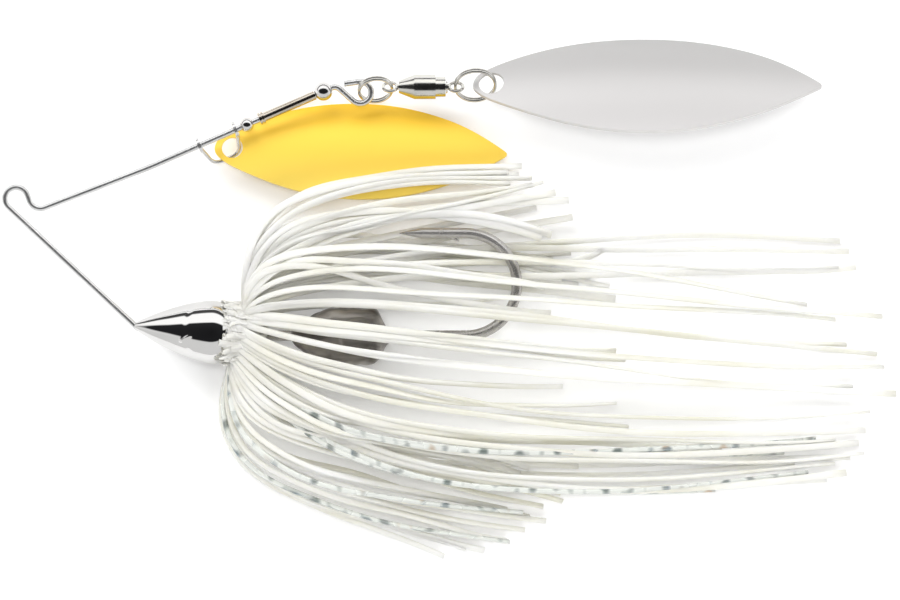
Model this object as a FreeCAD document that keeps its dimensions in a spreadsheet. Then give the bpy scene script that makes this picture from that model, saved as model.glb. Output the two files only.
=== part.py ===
"""Spinnerbait lying on its side: bent wire frame, weighted hook, two blades and a skirt.

Millimetres.  The origin is the centre of the open line-tie bend, X runs to the tail, Y to
the blade arm and Z up, away from the surface that the lure lies on.
"""
import FreeCAD
import Part
import Sketcher

import math
import os

V = FreeCAD.Vector

SIZES = {
    # frame wire
    "wire_radius": 0.5,
    "tie_radius": 1.85,
    "tie_leg_length": 1.0,
    "tie_leg_slope": 70.0,
    "lower_arm_slope": 43.1,
    "lower_arm_length": 27.75,
    "shoulder_radius": 1.9,
    "front_arm_slope": 21.1,
    "front_arm_end": 21.4,
    "rear_arm_slope": 23.6,
    "arm_bow_radius": 60.0,
    "neck_position": 51.2,
    "neck_radius": 1.2,
    "loop_centre_x": 55.05,
    "loop_centre_y": 17.0,
    "loop_radius": 1.75,
    "tag_slope": 8.0,
    "tag_length": 2.4,
    "tag_rise": 0.65,
    # head, on its own axis from the nose
    "head_slope": 4.8,
    "nose_radius": 0.75,
    "head_arc_radius": 30.0,
    "head_widest": 12.8,
    "head_radius": 5.1,
    "head_back": 15.0,
    "head_back_radius": 4.3,
    "neck_end": 20.4,
    "head_neck_radius": 2.6,
    "collar_front": 15.1,
    "collar_back": 17.1,
    "collar_radius": 4.3,
    "bunch_back": 18.5,
    "bunch_radius": 4.7,
    # rear weight
    "weight_front": 43.9,
    "weight_length": 15.7,
    "weight_height": 9.4,
    "weight_width": 8.8,
    "weight_axis": -21.95,
    "weight_bevel": 1.5,
    "weight_disc_radius": 1.5,
    "weight_disc_depth": 0.25,
    # hook
    "hook_radius": 0.85,
    "shank_height": -21.9,
    "shank_start": 36.0,
    "hook_bend_x": 71.9,
    "hook_gap": 16.4,
    "point_start": 64.8,
    "point_end": 61.3,
    "barb_position": 69.6,
    "barb_length": 1.5,
    # clevis
    "clevis_position": 32.2,
    "clevis_roll": 40.0,
    "ear_spacing": 6.3,
    "ear_radius": 1.35,
    "ear_thickness": 0.45,
    "clevis_rod_radius": 0.33,
    "clevis_depth": 4.7,
    "clevis_bottom_half": 2.2,
    "running_clearance": 0.06,
    # beads and tube on the arm
    "front_bead_position": 36.9,
    "front_bead_radius": 1.15,
    "tube_start": 38.9,
    "tube_length": 9.7,
    "tube_radius": 0.74,
    "tube_collar_radius": 0.98,
    "tube_collar_width": 0.36,
    "rear_bead_position": 49.15,
    "rear_bead_radius": 1.5,
    # split rings
    "front_ring_radius": 2.65,
    "rear_ring_radius": 3.2,
    "ring_wire_radius": 0.25,
    "ring_coil_offset": 0.21,
    # swivel, on its own axis from the front of the barrel
    "swivel_x": 61.2,
    "swivel_y": 17.9,
    "barrel_front_radius": 1.0,
    "barrel_flare_end": 2.5,
    "barrel_radius": 1.97,
    "barrel_length": 5.9,
    "barrel_front_wall": 2.3,
    "barrel_cavity_radius": 1.35,
    "stem_radius": 0.45,
    "shaft_radius": 0.5,
    "shaft_bore_radius": 0.57,
    "shaft_head_start": 2.9,
    "shaft_head_end": 3.95,
    "shaft_head_radius": 1.15,
    "cap_front": 4.85,
    "cap_radius": 1.6,
    "cap_back": 7.5,
    "washer_front": 7.58,
    "washer_back": 7.8,
    "washer_radius": 1.05,
    "ball_radius": 0.34,
    "ball_circle_radius": 0.94,
    "eye_radius": 1.12,
    "eye_wire_radius": 0.28,
    "front_eye_distance": -1.4,
    "rear_eye_distance": 9.15,
    # blades
    "gold_length": 46.9,
    "gold_width": 15.7,
    "gold_hole_distance": 2.85,
    "gold_hole_radius": 1.7,
    "gold_cup_radius": 16.0,
    "gold_sweep_radius": 150.0,
    "gold_tilt": 12.5,
    "gold_yaw": -1.3,
    "gold_hole_x": 34.5,
    "gold_hole_y": 8.2,
    "gold_hole_z": -2.4,
    "silver_length": 55.8,
    "silver_width": 17.5,
    "silver_hole_distance": 2.9,
    "silver_hole_radius": 2.0,
    "silver_cup_radius": 17.0,
    "silver_sweep_radius": 170.0,
    "silver_tilt": 31.5,
    "silver_yaw": -0.2,
    "silver_hole_x": 76.0,
    "silver_hole_y": 18.4,
    "silver_hole_z": 0.25,
    "blade_thickness": 0.6,
    # skirt locks
    "lock_root_half_width": 0.95,
    "lock_root_half_height": 0.65,
}

# Willow-leaf flank: fraction of the length from the nose, fraction of the half width.
FLANK = [
    (0.012, 0.17), (0.045, 0.32), (0.10, 0.48), (0.18, 0.67), (0.28, 0.85), (0.38, 0.96),
    (0.49, 1.0), (0.62, 0.95), (0.74, 0.79), (0.85, 0.55), (0.94, 0.26), (0.985, 0.09),
]

# Each lock of strands: four guide points, then half width and half height at mid and tip.
LOCKS = {
    "skirt_upper_edge": [(38.7, -18.2, 1.4), (37.5, -5, 4.5), (52, -4.5, 6.0), (84, -5.5, 3.0),
                         (1.7, 0.8), (1.2, 0.4)],
    "skirt_upper_tails": [(38.7, -19.3, 3.2), (45, -8, 11.0), (90, -10, 7.0), (132, -10, -3.4),
                          (2.4, 0.9), (2.0, 0.4)],
    "skirt_crown_tails": [(38.7, -22.2, 3.9), (46, -21, 14.0), (90, -20, 8.0), (138, -24, -3.6),
                          (2.8, 0.9), (2.4, 0.4)],
    "skirt_lower_tails": [(38.7, -25.0, 2.9), (43, -36, 9.0), (90, -33, 6.0), (138, -32, -3.6),
                          (2.4, 0.9), (2.2, 0.4)],
    "skirt_flash": [(38.6, -26.4, 1.2), (37, -42, 4.0), (85, -42, 3.0), (134, -38, -3.8),
                    (1.4, 0.6), (1.2, 0.35)],
    "skirt_lower_fan": [(37.0, -27.1, -0.8), (26, -46, -0.5), (50, -52, -3.0), (84, -51, -4.3),
                        (2.6, 0.9), (2.4, 0.5)],
    "skirt_table_tails": [(38.7, -25.3, -3.0), (44, -38, -4.6), (90, -46, -4.2),
                          (131, -44, -4.4), (2.0, 0.7), (1.8, 0.5)],
    "skirt_under_gap": [(38.9, -19.4, -3.0), (46, -11, -4.4), (70, -11, -4.1), (98, -16, -4.3),
                        (1.5, 0.6), (1.3, 0.5)],
}
LOCK_STATION_COUNT = 9


# --- document helpers -------------------------------------------------------------------

def make_sheet(doc):
    """The driving dimensions, one alias to a row."""
    sheet = doc.addObject("Spreadsheet::Sheet", "sizes")
    for row, (alias, value) in enumerate(SIZES.items(), start=1):
        sheet.set("A%d" % row, alias)
        sheet.set("B%d" % row, str(value))
        sheet.setAlias("B%d" % row, alias)
    doc.recompute()
    return sheet


def heading(degrees):
    """Unit vector in the wire plane."""
    angle = math.radians(degrees)
    return V(math.cos(angle), math.sin(angle), 0)


def bind(item, **properties):
    """Bind properties to expressions on the sheet."""
    for name, expression in properties.items():
        item.setExpression(name, expression)
    return item


def cylinder(doc, name, radius, length):
    item = doc.addObject("Part::Cylinder", name)
    return bind(item, Radius=radius, Height=length)


def cut(doc, name, base, tool):
    item = doc.addObject("Part::Cut", name)
    item.Base = base
    item.Tool = tool
    return item


def feature(doc, name, shape, placement=None):
    item = doc.addObject("Part::Feature", name)
    item.Shape = shape
    item.Placement = placement or FreeCAD.Placement()
    return item


def base_plane(body):
    """The body's own XY plane."""
    for plane in body.Origin.OriginFeatures:
        if plane.Role == "XY_Plane":
            return plane
    raise RuntimeError("no XY plane in " + body.Name)


def corner_point(sheet, along, across):
    return V(sheet.get(along) if along else 0, sheet.get(across) if across else 0, 0)


def bulged_arc(start, end, radius):
    """Counter-clockwise arc over a rising chord: it begins at the chord's far end."""
    half = (end - start) * 0.5
    inward = V(half.y, -half.x, 0).normalize()
    centre = start + half + inward * math.sqrt(radius ** 2 - half.Length ** 2)
    angles = [math.atan2(spot.y - centre.y, spot.x - centre.x) for spot in (end, start)]
    return Part.ArcOfCircle(Part.Circle(centre, V(0, 0, 1), radius), *angles)


def turned_body(doc, sheet, name, corners, arcs=None):
    """PartDesign body turned about its local X axis from a closed half profile.

    corners are (along, radius) pairs of sheet aliases; arcs names the radius of each
    edge that is rounded, by the number of the corner that it starts at.
    """
    arcs = arcs or {}
    body = doc.addObject("PartDesign::Body", name + "_body")
    sketch = body.newObject("Sketcher::SketchObject", name + "_profile")
    sketch.AttachmentSupport = [(base_plane(body), "")]
    sketch.MapMode = "FlatFace"
    points = [corner_point(sheet, *corner) for corner in corners]
    count = len(points)
    for index, start in enumerate(points):
        end = points[(index + 1) % count]
        if index in arcs:
            sketch.addGeometry(bulged_arc(start, end, sheet.get(arcs[index])), False)
        else:
            sketch.addGeometry(Part.LineSegment(start, end), False)
    for index, corner in enumerate(corners):
        after = (index + 1) % count
        leaving = 1 if index in arcs else 2
        arriving = 2 if after in arcs else 1
        sketch.addConstraint(
            Sketcher.Constraint("Coincident", index, leaving, after, arriving))
        hold_point(sketch, sheet, index, 2 if index in arcs else 1, *corner)
    for index, alias in arcs.items():
        rule = Sketcher.Constraint("Radius", index, sheet.get(alias))
        number = sketch.addConstraint(rule)
        sketch.setExpression("Constraints[%d]" % number, "sizes." + alias)
    turn = body.newObject("PartDesign::Revolution", name + "_turn")
    turn.Profile = sketch
    turn.ReferenceAxis = (sketch, ["H_Axis"])
    turn.Angle = 360
    sketch.Visibility = False
    return body


def hold_point(sketch, sheet, edge, position, along, across):
    """Tie a sketch point to two sheet cells; an empty alias puts it on that axis."""
    for kind, axis, alias in (("DistanceX", -2, along), ("DistanceY", -1, across)):
        if alias:
            rule = Sketcher.Constraint(kind, -1, 1, edge, position, sheet.get(alias))
            index = sketch.addConstraint(rule)
            sketch.setExpression("Constraints[%d]" % index, "sizes." + alias)
        else:
            sketch.addConstraint(Sketcher.Constraint("PointOnObject", edge, position, axis))


# --- bent wire --------------------------------------------------------------------------

def rounded_path(points, radii):
    """Straight runs through the points with a tangent arc at each inner corner."""
    edges = []
    start = points[0]
    for before, corner, after, radius in zip(points, points[1:], points[2:], radii):
        back = (before - corner).normalize()
        ahead = (after - corner).normalize()
        half_turn = (math.pi - back.getAngle(ahead)) / 2
        reach = radius * math.tan(half_turn)
        first = corner + back * reach
        last = corner + ahead * reach
        inward = (back + ahead).normalize()
        middle = corner + inward * (radius / math.cos(half_turn) - radius)
        if (first - start).Length > 1e-3:
            edges.append(Part.LineSegment(start, first).toShape())
        else:
            first = start
        edges.append(Part.Arc(first, middle, last).toShape())
        start = last
    edges.append(Part.LineSegment(start, points[-1]).toShape())
    return Part.Wire(edges)


def wrap_corners(centre, radius, heading_in, heading_out, corners):
    """Corners of the straight runs that wrap a circle tangentially."""
    step = (heading_out - heading_in) / corners
    side = 90 if step < 0 else -90
    distance = radius / math.cos(math.radians(step) / 2)
    turns = [heading_in + step * (index + 0.5) for index in range(corners)]
    return [centre + heading(turn + side) * distance for turn in turns]


def round_bar(path, radius):
    """Round section swept along a path of runs and arcs."""
    first = path.Edges[0]
    start = first.valueAt(first.FirstParameter)
    direction = first.tangentAt(first.FirstParameter)
    section = Part.Wire(Part.Circle(start, direction, radius).toShape())
    bar = path.makePipeShell([section], True, False)
    expected = math.pi * radius ** 2 * path.Length
    if abs(bar.Volume - expected) > 0.02 * expected:
        raise RuntimeError("swept bar has the wrong volume")
    return bar


class FrameLine:
    """Key points of the bent frame wire."""

    def __init__(self, sheet):
        get = sheet.get
        tie = get("tie_radius")
        self.lower_heading = 180 - get("lower_arm_slope")
        tie_foot = heading(self.lower_heading + 90) * tie
        self.nose = tie_foot - heading(self.lower_heading) * get("lower_arm_length")
        leg_heading = -get("tie_leg_slope")
        leg_end = heading(leg_heading + 90) * tie + heading(leg_heading) * get("tie_leg_length")
        self.shoulder = leg_end + heading(leg_heading + 90) * get("shoulder_radius")
        front = get("front_arm_slope")
        foot = self.shoulder + heading(front - 90) * get("shoulder_radius")
        run = (get("front_arm_end") - foot.x) / heading(front).x
        self.bow = foot + heading(front) * run
        self.arm = heading(get("rear_arm_slope"))
        self.leg_heading = leg_heading

    def on_arm(self, x):
        """Point of the rear arm's centreline at the given X."""
        return self.bow + self.arm * ((x - self.bow.x) / self.arm.x)


def frame_wire_shape(sheet, line):
    get = sheet.get
    inner_axis = heading(-get("head_slope"))
    nose_bend = line.nose - heading(line.lower_heading) * 0.7
    tie = wrap_corners(V(), get("tie_radius"), line.lower_heading, line.leg_heading, 3)
    front = get("front_arm_slope")
    shoulder = wrap_corners(line.shoulder, get("shoulder_radius"), line.leg_heading, front, 2)
    neck = line.on_arm(get("neck_position"))
    centre = V(get("loop_centre_x"), get("loop_centre_y"), 0)
    across = centre - neck
    aim = math.degrees(math.atan2(across.y, across.x))
    dip = math.degrees(math.asin(get("loop_radius") / across.Length))
    tag_heading = 180 + get("tag_slope")
    loop = wrap_corners(centre, get("loop_radius"), aim - dip, tag_heading, 4)
    loop_end = centre + heading(tag_heading - 90) * get("loop_radius")
    tag = loop_end + heading(tag_heading) * get("tag_length") + V(0, 0, get("tag_rise"))
    points = [line.nose + inner_axis * 13, line.nose + inner_axis * 5, nose_bend]
    points += tie + shoulder + [line.bow, neck] + loop + [tag]
    radii = [20.0, 0.9] + [get("tie_radius")] * 3 + [get("shoulder_radius")] * 2
    radii += [get("arm_bow_radius"), get("neck_radius")]
    radii += [get("loop_radius")] * 3 + [get("loop_radius") * 0.9]
    return round_bar(rounded_path(points, radii), get("wire_radius"))


def hook_shape(sheet):
    get = sheet.get
    half_gap = get("hook_gap") / 2
    low = get("shank_height")
    high = low + get("hook_gap")
    far = get("hook_bend_x") + half_gap
    points = [V(get("shank_start"), low, 0), V(far, low, 0), V(far, high, 0),
              V(get("point_start"), high, 0)]
    wire = round_bar(rounded_path(points, [half_gap, half_gap]), get("hook_radius"))
    taper = get("point_start") - get("point_end")
    point = Part.makeCone(get("hook_radius"), 0.08, taper, points[-1], V(-1, 0, 0))
    barb_root = V(get("barb_position"), high - get("hook_radius") * 0.6, 0)
    barb = Part.makeCone(0.5, 0.06, get("barb_length"), barb_root, V(0.85, -0.53, 0))
    return wire.fuse([point, barb]).removeSplitter()


# --- clevis, rings and blades -----------------------------------------------------------

def clevis_shape(sheet, line):
    """Two eared plates on the arm joined by a U of round wire."""
    get = sheet.get
    centre = line.on_arm(get("clevis_position"))
    along = line.arm
    roll = math.radians(get("clevis_roll"))
    down = V(along.y, -along.x, 0) * math.cos(roll) + V(0, 0, -math.sin(roll))
    half = get("ear_spacing") / 2
    thickness = get("ear_thickness")
    ears = []
    for side in (-half, half):
        base = centre + along * (side - thickness / 2)
        ears.append(Part.makeCylinder(get("ear_radius"), thickness, base, along))
    bottom = get("clevis_bottom_half")
    depth = get("clevis_depth")
    stations = [(-half, 0.85), (-bottom, depth), (bottom, depth), (half, 0.85)]
    points = [centre + along * across + down * drop for across, drop in stations]
    rod = round_bar(rounded_path(points, [1.7, 1.7]), get("clevis_rod_radius"))
    bore = get("wire_radius") + get("running_clearance")
    hole = Part.makeCylinder(bore, 3 * half, centre - along * 1.5 * half, along)
    return ears[0].fuse([ears[1], rod]).cut(hole).removeSplitter()


def double_coil(doc, name, radius):
    """Split ring: two flattened turns side by side, on the local Z axis."""
    turns = []
    for side, sign in (("lower", "-"), ("upper", "")):
        turn = doc.addObject("Part::Torus", "%s_%s_turn" % (name, side))
        bind(turn, Radius1="sizes." + radius, Radius2="sizes.ring_wire_radius")
        turn.setExpression("Placement.Base.z", sign + "sizes.ring_coil_offset")
        turns.append(turn)
    ring = doc.addObject("Part::Fuse", name)
    ring.Base = turns[0]
    ring.Tool = turns[1]
    return ring


def blade_outline(length, width):
    """Closed willow-leaf face in the local XY plane, nose at the origin."""
    upper = [V(along * length, across * width / 2, 0) for along, across in FLANK]
    lower = [V(point.x, -point.y, 0) for point in reversed(upper)]
    curve = Part.BSplineCurve()
    loop = [V()] + upper + [V(length, 0, 0)] + lower
    curve.interpolate(Points=loop, PeriodicFlag=True)
    return Part.Face(Part.Wire(curve.toShape()))


def blade_shape(sheet, prefix):
    """Cupped sheet-metal blade with its hole, in its own frame."""
    get = sheet.get
    length = get(prefix + "_length")
    cup = get(prefix + "_cup_radius")
    sweep = get(prefix + "_sweep_radius")
    half = get("blade_thickness") / 2
    prism = blade_outline(length, get(prefix + "_width")).extrude(V(0, 0, 10))
    prism.translate(V(0, 0, -8))
    centre = V(length / 2, 0, -sweep)
    outer = Part.makeTorus(sweep - cup, cup + half, centre, V(0, 1, 0))
    inner = Part.makeTorus(sweep - cup, cup - half, centre, V(0, 1, 0))
    hole = Part.makeCylinder(get(prefix + "_hole_radius"), 20,
                             V(get(prefix + "_hole_distance"), 0, -10), V(0, 0, 1))
    return prism.common(outer).cut(inner).cut(hole)


def blade_placement(sheet, prefix):
    """Put the middle of the blade's hole at its place, tilted and yawed."""
    get = sheet.get
    length = get(prefix + "_length")
    sweep = get(prefix + "_sweep_radius")
    reach = length / 2 - get(prefix + "_hole_distance")
    dip = sweep - math.sqrt(sweep ** 2 - reach ** 2)
    local = FreeCAD.Placement(V(-get(prefix + "_hole_distance"), 0, dip), FreeCAD.Rotation())
    tilt = FreeCAD.Rotation(V(1, 0, 0), -get(prefix + "_tilt"))
    yaw = FreeCAD.Rotation(V(0, 0, 1), get(prefix + "_yaw"))
    spot = V(get(prefix + "_hole_x"), get(prefix + "_hole_y"), get(prefix + "_hole_z"))
    return FreeCAD.Placement(spot, yaw.multiply(tilt)).multiply(local)


# --- skirt ------------------------------------------------------------------------------

def bezier_at(points, share):
    rest = 1 - share
    weights = (rest ** 3, 3 * rest ** 2 * share, 3 * rest * share ** 2, share ** 3)
    total = V()
    for weight, point in zip(weights, points):
        total = total + point * weight
    return total


def lock_section(points, share, half_width, half_height):
    """Flat oval section square to the lock's line."""
    here = bezier_at(points, share)
    ahead = bezier_at(points, min(share + 0.01, 1.0))
    behind = bezier_at(points, max(share - 0.01, 0.0))
    run = (ahead - behind).normalize()
    side = run.cross(V(0, 0, 1)).normalize()
    rise = side.cross(run).normalize()
    oval = Part.Ellipse(here + side * half_width, here + rise * half_height, here)
    return Part.Wire(oval.toShape())


def lock_shape(sheet, lock):
    """Closed tapered solid around one lock of strands."""
    points = [V(*guide) for guide in lock[:4]]
    root = (sheet.get("lock_root_half_width"), sheet.get("lock_root_half_height"))
    middle, tip = lock[4:]
    sections = []
    for station in range(LOCK_STATION_COUNT):
        share = station / (LOCK_STATION_COUNT - 1)
        if share < 0.35:
            blend = share / 0.35
            near, far = root, middle
        else:
            blend = (share - 0.35) / 0.65
            near, far = middle, tip
        half_width = near[0] + (far[0] - near[0]) * blend
        half_height = near[1] + (far[1] - near[1]) * blend
        sections.append(lock_section(points, share, half_width, half_height))
    return Part.makeLoft(sections, True, False)


# --- pieces -----------------------------------------------------------------------------

def build_frame_and_head(doc, sheet, line):
    wire = feature(doc, "frame_wire", frame_wire_shape(sheet, line))
    hook = feature(doc, "hook", hook_shape(sheet))
    casting = turned_body(doc, sheet, "head_casting", [
        ("", ""), ("", "nose_radius"), ("head_widest", "head_radius"),
        ("head_back", "head_back_radius"), ("head_back", "head_neck_radius"),
        ("neck_end", "head_neck_radius"), ("neck_end", "")],
        arcs={1: "head_arc_radius"})
    axis = FreeCAD.Placement(line.nose, FreeCAD.Rotation(V(0, 0, 1), -sheet.get("head_slope")))
    casting.Placement = axis
    bored = cut(doc, "head_bored", casting, wire)
    head = cut(doc, "head", bored, hook)
    collar = turned_body(doc, sheet, "skirt_collar", [
        ("collar_front", "head_neck_radius"), ("collar_front", "collar_radius"),
        ("collar_back", "collar_radius"), ("collar_back", "head_neck_radius")])
    bunch = turned_body(doc, sheet, "skirt_bunch", [
        ("collar_back", "head_neck_radius"), ("collar_back", "collar_radius"),
        ("bunch_back", "bunch_radius"), ("bunch_back", "head_neck_radius")])
    collar.Placement = axis
    bunch.Placement = axis
    return {"frame_wire": wire, "hook": hook, "head": head,
            "skirt_collar": collar, "skirt_bunch": bunch}


def build_weight(doc, sheet, hook):
    """Bevelled block on the shank with a shallow round recess on each broad side."""
    block = doc.addObject("Part::Box", "weight_block")
    bind(block, Length="sizes.weight_length", Width="sizes.weight_height",
         Height="sizes.weight_width")
    block.setExpression("Placement.Base.x", "sizes.weight_front")
    block.setExpression("Placement.Base.y", "sizes.weight_axis - sizes.weight_height / 2")
    block.setExpression("Placement.Base.z", "-sizes.weight_width / 2")
    doc.recompute()
    bevel = doc.addObject("Part::Chamfer", "weight_bevels")
    bevel.Base = block
    size = sheet.get("weight_bevel")
    bevel.Edges = [(number, size, size) for number in range(1, 13)]
    disc = cylinder(doc, "weight_disc", "sizes.weight_disc_radius", "sizes.weight_disc_depth")
    disc.setExpression("Placement.Base.x", "sizes.weight_front + sizes.weight_length * 0.7")
    disc.setExpression("Placement.Base.y", "sizes.weight_axis - 1.2")
    disc.setExpression("Placement.Base.z", "sizes.weight_width / 2 - sizes.weight_disc_depth")
    recessed = cut(doc, "weight_recessed", bevel, disc)
    return cut(doc, "keel_weight", recessed, hook)


def ball_bead(doc, name, line, sheet):
    """Round bead bored for the arm."""
    ball = doc.addObject("Part::Sphere", name + "_ball")
    bind(ball, Radius="sizes.%s_radius" % name)
    bore = cylinder(doc, name + "_bore", "sizes.wire_radius + sizes.running_clearance",
                    "sizes.%s_radius * 3" % name)
    bore.setExpression("Placement.Base.z", "-sizes.%s_radius * 1.5" % name)
    bead = cut(doc, name, ball, bore)
    spot = line.on_arm(sheet.get(name + "_position"))
    bead.Placement = FreeCAD.Placement(spot, FreeCAD.Rotation(V(0, 0, 1), line.arm))
    return bead


def arm_sleeve(doc, name, radius, length, bore_radius, spot, line):
    """Sleeve on the arm, starting at a point of its centreline."""
    outside = cylinder(doc, name + "_outside", radius, length)
    inside = cylinder(doc, name + "_inside", bore_radius, length)
    sleeve = cut(doc, name, outside, inside)
    sleeve.Placement = FreeCAD.Placement(spot, FreeCAD.Rotation(V(0, 0, 1), line.arm))
    return sleeve


def build_arm_pieces(doc, sheet, line):
    bore = "sizes.wire_radius + sizes.running_clearance"
    start = line.on_arm(sheet.get("tube_start"))
    pieces = {
        "clevis": feature(doc, "clevis", clevis_shape(sheet, line)),
        "front_bead": ball_bead(doc, "front_bead", line, sheet),
        "rear_bead": ball_bead(doc, "rear_bead", line, sheet),
        "spacer_tube": arm_sleeve(doc, "spacer_tube", "sizes.tube_radius",
                                  "sizes.tube_length", bore, start, line),
    }
    width = sheet.get("tube_collar_width")
    for name, step in (("tube_collar_front", 0.0), ("tube_collar_rear", 1.3)):
        spot = start + line.arm * (step * width)
        pieces[name] = arm_sleeve(doc, name, "sizes.tube_collar_radius",
                                  "sizes.tube_collar_width", "sizes.tube_radius", spot, line)
    return pieces


def eye_shape(sheet, distance, stem_radius, stem_end):
    """Wire eye on the swivel axis with the stem that carries it."""
    get = sheet.get
    normal = V(0, math.sin(math.radians(50)), math.cos(math.radians(50)))
    ring = Part.makeTorus(get("eye_radius"), get("eye_wire_radius"), V(distance, 0, 0), normal)
    toward = 1 if stem_end > distance else -1
    start = distance + toward * get("eye_radius")
    stem = Part.makeCylinder(stem_radius, abs(stem_end - start), V(start, 0, 0),
                             V(toward, 0, 0))
    return ring.fuse(stem)


def build_swivel(doc, sheet):
    get = sheet.get
    axis = FreeCAD.Placement(V(get("swivel_x"), get("swivel_y"), 0), FreeCAD.Rotation())
    barrel = turned_body(doc, sheet, "swivel_barrel", [
        ("", "stem_radius"), ("", "barrel_front_radius"), ("barrel_flare_end", "barrel_radius"),
        ("barrel_length", "barrel_radius"), ("barrel_length", "barrel_cavity_radius"),
        ("barrel_front_wall", "barrel_cavity_radius"), ("barrel_front_wall", "stem_radius")])
    cap = turned_body(doc, sheet, "swivel_end_cap", [
        ("cap_front", "shaft_bore_radius"), ("cap_front", "barrel_cavity_radius"),
        ("barrel_length", "barrel_cavity_radius"), ("barrel_length", "cap_radius"),
        ("cap_back", "cap_radius"), ("cap_back", "shaft_bore_radius")])
    washer = turned_body(doc, sheet, "swivel_washer", [
        ("washer_front", "shaft_radius"), ("washer_front", "washer_radius"),
        ("washer_back", "washer_radius"), ("washer_back", "shaft_radius")])
    front_eye = eye_shape(sheet, get("front_eye_distance"), get("stem_radius"),
                          get("barrel_front_wall"))
    rear_eye = eye_shape(sheet, get("rear_eye_distance"), get("shaft_radius"),
                         get("shaft_head_end"))
    head_length = get("shaft_head_end") - get("shaft_head_start")
    shaft_head = Part.makeCylinder(get("shaft_head_radius"), head_length,
                                   V(get("shaft_head_start"), 0, 0), V(1, 0, 0))
    middle = (get("shaft_head_end") + get("cap_front")) / 2
    balls = []
    for number in range(6):
        angle = math.radians(60 * number)
        spot = V(middle, math.cos(angle), math.sin(angle))
        spot.y = spot.y * get("ball_circle_radius")
        spot.z = spot.z * get("ball_circle_radius")
        balls.append(Part.makeSphere(get("ball_radius"), spot))
    pieces = {
        "swivel_barrel": barrel,
        "swivel_end_cap": cap,
        "swivel_washer": washer,
        "swivel_front_eye": feature(doc, "swivel_front_eye", front_eye),
        "swivel_shaft": feature(doc, "swivel_shaft", rear_eye.fuse(shaft_head)),
        "swivel_balls": feature(doc, "swivel_balls", Part.makeCompound(balls)),
    }
    for piece in pieces.values():
        piece.Placement = axis
    return pieces


def place_ring(ring, left, right, lean):
    """Lay a ring between two points of its middle line, leaning about that line."""
    across = (right - left).normalize()
    normal = V(0, -math.sin(math.radians(lean)), math.cos(math.radians(lean)))
    normal = (normal - across * normal.dot(across)).normalize()
    side = normal.cross(across)
    ring.Placement = FreeCAD.Placement((left + right) * 0.5,
                                       FreeCAD.Rotation(across, side, normal, "ZXY"))


def build_rings(doc, sheet):
    get = sheet.get
    front = double_coil(doc, "front_split_ring", "front_ring_radius")
    rear = double_coil(doc, "rear_split_ring", "rear_ring_radius")
    front_left = V(get("loop_centre_x") - 0.2, get("loop_centre_y") + 0.1, 0)
    front_right = front_left + heading(8.0) * (2 * get("front_ring_radius"))
    rear_left = V(get("swivel_x") + get("rear_eye_distance") - 0.1, get("swivel_y") + 0.05, 0)
    rear_right = rear_left + heading(4.0) * (2 * get("rear_ring_radius"))
    place_ring(front, front_left, front_right, 50)
    place_ring(rear, rear_left, rear_right, 45)
    return {"front_split_ring": front, "rear_split_ring": rear}


def build_blades(doc, sheet):
    pieces = {}
    for name, prefix in (("front_blade", "gold"), ("rear_blade", "silver")):
        pieces[name] = feature(doc, name, blade_shape(sheet, prefix),
                               blade_placement(sheet, prefix))
    return pieces


def build_skirt(doc, sheet):
    return {name: feature(doc, name, lock_shape(sheet, lock)) for name, lock in LOCKS.items()}


def check_document(doc, pieces):
    for item in doc.Objects:
        if "Invalid" in item.State or "Error" in item.State:
            raise RuntimeError("failed object " + item.Name)
    for name, piece in pieces.items():
        if piece.Shape.isNull() or not piece.Shape.isValid() or not piece.Shape.Solids:
            raise RuntimeError("bad shape " + name)


def write_parts(pieces):
    os.makedirs("parts", exist_ok=True)
    for name, piece in pieces.items():
        piece.Label = name
        piece.Shape.exportStep(os.path.join("parts", name + ".step"))
        print("%-20s %9.2f mm3" % (name, piece.Shape.Volume))


def main():
    doc = FreeCAD.newDocument("spinnerbait")
    sheet = make_sheet(doc)
    line = FrameLine(sheet)
    pieces = build_frame_and_head(doc, sheet, line)
    pieces["keel_weight"] = build_weight(doc, sheet, pieces["hook"])
    pieces.update(build_arm_pieces(doc, sheet, line))
    pieces.update(build_rings(doc, sheet))
    pieces.update(build_swivel(doc, sheet))
    pieces.update(build_blades(doc, sheet))
    pieces.update(build_skirt(doc, sheet))
    doc.recompute()
    check_document(doc, pieces)
    write_parts(pieces)


main()
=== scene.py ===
"""Looks of the spinnerbait: materials, head, weight, skirt, floor, light and camera."""

import math
import random

import bmesh
import bpy
from mathutils import Matrix, Vector


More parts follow.
